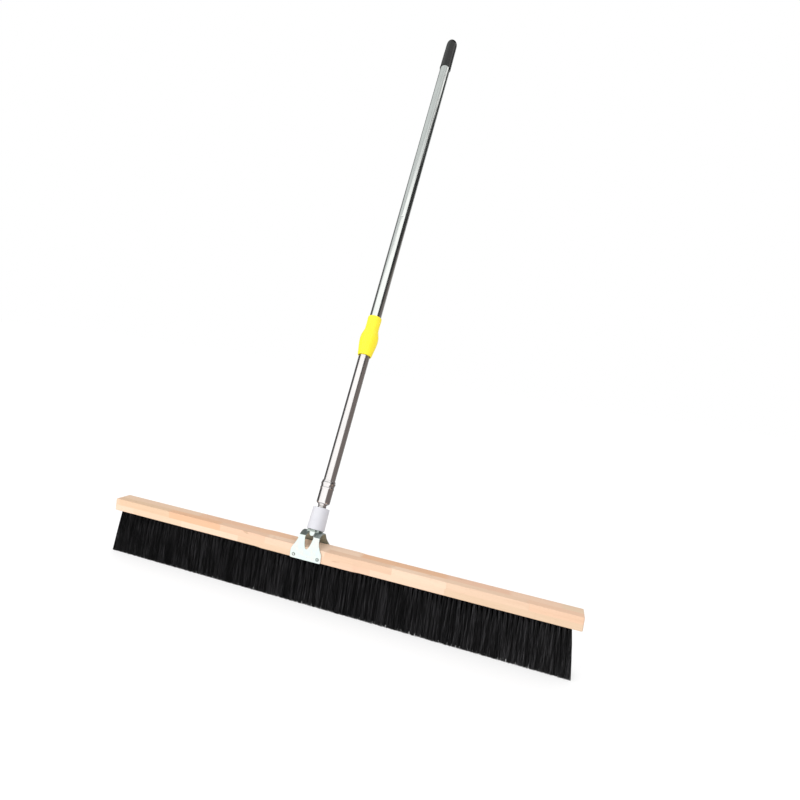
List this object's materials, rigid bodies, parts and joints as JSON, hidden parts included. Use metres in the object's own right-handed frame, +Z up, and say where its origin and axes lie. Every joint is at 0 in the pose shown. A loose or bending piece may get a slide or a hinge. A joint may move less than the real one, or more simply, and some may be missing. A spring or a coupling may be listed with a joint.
{
  "type": "push broom",
  "caption": "Wide push broom: wooden block with black bristles, steel saddle bracket, tilting screw-in socket and telescopic steel handle with a twist lock.",
  "frame": {"origin": "on the floor, under the middle of the bristles, where the bristle tips rest", "axes": "+X along the brush block, +Y towards the back, where the handle leans, +Z up"},
  "size_m": [1.2, 0.6645, 1.6785],
  "materials": {
    "block_wood": "planed pale hardwood, finger-jointed staves, clear satin coat",
    "bristle": "black synthetic filament",
    "zinc_sheet": "bright zinc plate with a faint blue-green tint",
    "zinc_screw": "bright zinc plate",
    "socket_plastic": "moulded white plastic, satin",
    "tip_metal": "turned metal",
    "tube_steel": "polished stainless tube",
    "nylon": "natural nylon",
    "collar_plastic": "moulded lemon-yellow plastic",
    "grip_rubber": "matte black, lightly textured"
  },
  "bodies": {
    "brush_head": {"brush_block": "block_wood", "bristle_row_1": "bristle", "bristle_row_2": "bristle", "bristle_row_3": "bristle", "bristle_row_4": "bristle", "bristle_row_5": "bristle", "saddle_bracket": "zinc_sheet", "bracket_screw_front_left": "zinc_screw", "bracket_screw_front_right": "zinc_screw", "bracket_screw_rear_left": "zinc_screw", "bracket_screw_rear_right": "zinc_screw"},
    "socket_unit": {"seat_washer": "zinc_sheet", "clamp_saddle": "zinc_sheet", "socket_bolt": "zinc_screw", "socket_washer": "zinc_screw", "socket_nut": "zinc_screw", "handle_socket": "socket_plastic"},
    "lower_handle": {"threaded_tip": "tip_metal", "tip_ferrule": "tube_steel", "lower_tube": "tube_steel", "guide_bush": "nylon"},
    "upper_handle": {"upper_tube": "tube_steel", "locking_collet": "nylon", "end_grip": "grip_rubber"},
    "collar": {"lock_collar": "collar_plastic"}
  },
  "joints": [
    {"name": "socket_tilt", "type": "hinge", "parent": "brush_head", "child": "socket_unit", "pos_m": [-0.038, 0, 0.142], "axis": [1, 0, 0], "range_deg": [-2, 46]},
    {"name": "handle_unscrew", "type": "hinge", "parent": "socket_unit", "child": "lower_handle", "pos_m": [-0.038, 0, 0.142], "axis": [0, 0.3746, 0.9272], "range_deg": [0, 360]},
    {"name": "handle_extend", "type": "slide", "parent": "lower_handle", "child": "upper_handle", "axis": [0, 0.3746, 0.9272], "range_m": [-0.32, 0.1]},
    {"name": "collar_turn", "type": "hinge", "parent": "upper_handle", "child": "collar", "pos_m": [-0.038, 0, 0.142], "axis": [0, 0.3746, 0.9272], "range_deg": [0, 180]}
  ]
}
